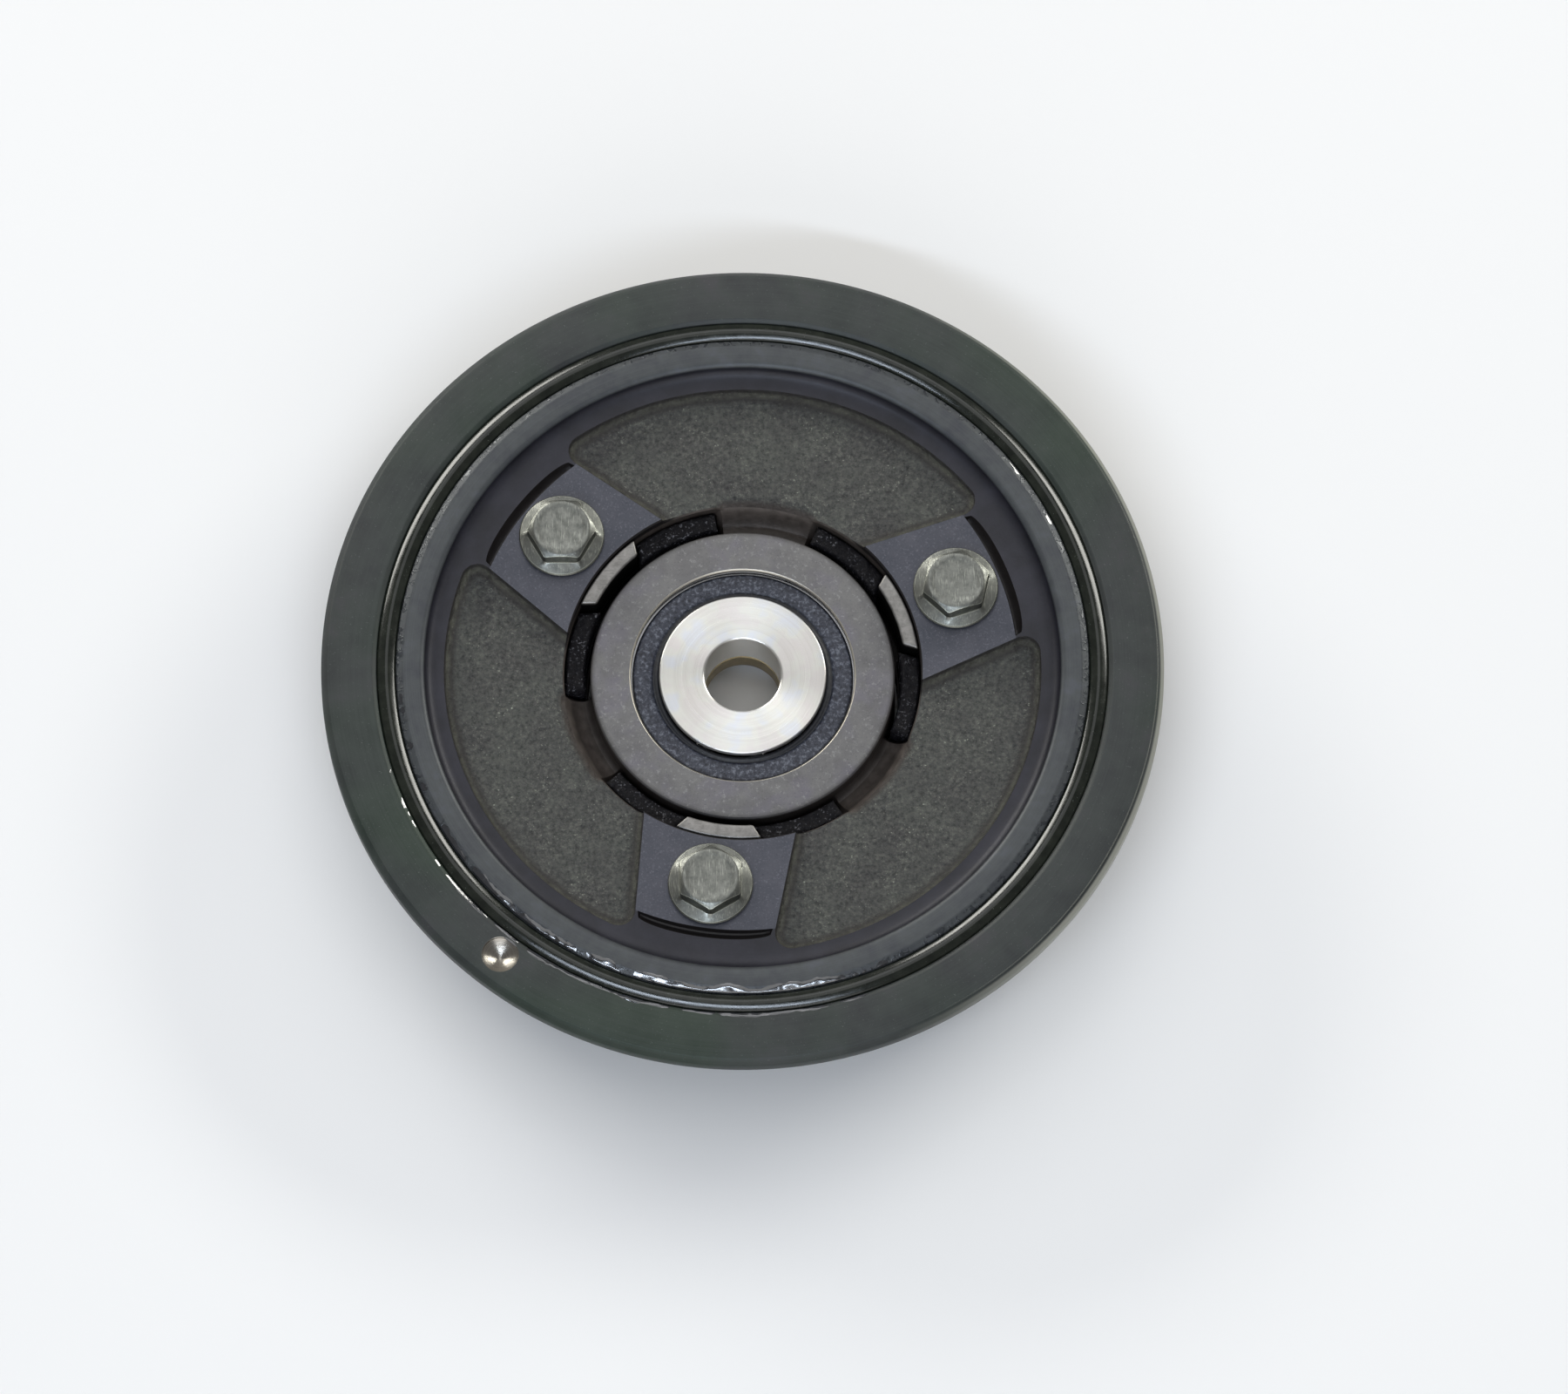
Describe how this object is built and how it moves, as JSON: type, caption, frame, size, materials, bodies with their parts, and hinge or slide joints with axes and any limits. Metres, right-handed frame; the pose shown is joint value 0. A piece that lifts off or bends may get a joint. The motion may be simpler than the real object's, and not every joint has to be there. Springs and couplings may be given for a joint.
{
  "type": "damped flywheel with cushioned drive ring",
  "caption": "Cast flywheel with a rubber-mounted inertia ring, a sealed hub bearing, and drive lugs cushioned by rubber blocks; shown face up, with bolts and a bushed bore",
  "frame": {"origin": "on the wheel's axis, in the plane of the rear cover's back face", "axes": "+Z is the wheel's axis, pointing out of the front face with the bolt heads; +X and +Y lie in the wheel's plane, with the first bolt 22 degrees from +X towards +Y"},
  "size_m": [0.176, 0.176, 0.0308],
  "materials": {
    "cast_iron": "sand cast, machined on the rim and pads",
    "phosphated_iron": "machined and phosphated dark green-grey",
    "damper_rubber": "glossy moulded bead",
    "black_rubber": "rough, worn",
    "zinc_plate": "yellowish zinc plate",
    "bare_steel": "bare, satin",
    "bearing_steel": "ground and polished",
    "seal_rubber": "matt blue-black",
    "cage_nylon": "moulded",
    "spring_steel": "blackened",
    "turned_steel": "fine turned",
    "bronze": "plain bronze"
  },
  "bodies": {
    "flywheel": {"flywheel_casting": "cast_iron", "rear_cover": "phosphated_iron", "flange_bolt_1": "zinc_plate", "flange_bolt_2": "zinc_plate", "flange_bolt_3": "zinc_plate", "bearing_outer_race": "bearing_steel", "front_seal": "seal_rubber", "rear_seal": "seal_rubber", "snap_ring": "spring_steel", "rubber_block_1": "black_rubber", "rubber_block_2": "black_rubber", "rubber_block_3": "black_rubber", "rubber_block_4": "black_rubber", "rubber_block_5": "black_rubber", "rubber_block_6": "black_rubber"},
    "damper": {"inertia_ring": "phosphated_iron", "damper_rubber": "damper_rubber"},
    "drive": {"drive_ring": "bare_steel"},
    "sleeve": {"bearing_inner_race": "bearing_steel", "front_bush": "turned_steel", "rear_bush": "bronze"},
    "cage": {"bearing_cage": "cage_nylon", "bearing_ball_1": "bearing_steel", "bearing_ball_2": "bearing_steel", "bearing_ball_3": "bearing_steel", "bearing_ball_4": "bearing_steel", "bearing_ball_5": "bearing_steel", "bearing_ball_6": "bearing_steel", "bearing_ball_7": "bearing_steel", "bearing_ball_8": "bearing_steel", "bearing_ball_9": "bearing_steel"}
  },
  "joints": [
    {"name": "damper_twist", "type": "hinge", "parent": "flywheel", "child": "damper", "pos_m": [0, 0, 0.0175], "axis": [0, 0, 1], "range_deg": [-3, 3], "stiffness_Nm_per_rad": 200, "deforming": ["damper_rubber"]},
    {"name": "drive_twist", "type": "hinge", "parent": "flywheel", "child": "drive", "pos_m": [0, 0, 0.012], "axis": [0, 0, 1], "range_deg": [-4, 4], "stiffness_Nm_per_rad": 20, "deforming": ["rubber_block_1", "rubber_block_2", "rubber_block_3", "rubber_block_4", "rubber_block_5", "rubber_block_6"]},
    {"name": "bearing_spin", "type": "hinge", "parent": "flywheel", "child": "sleeve", "pos_m": [0, 0, 0.0131], "axis": [0, 0, 1], "continuous": true},
    {"name": "cage_spin", "type": "hinge", "parent": "flywheel", "child": "cage", "pos_m": [0, 0, 0.0131], "axis": [0, 0, 1], "continuous": true}
  ],
  "couplings": [
    {"joint": "cage_spin", "follows": "bearing_spin", "ratio": 0.3982}
  ]
}
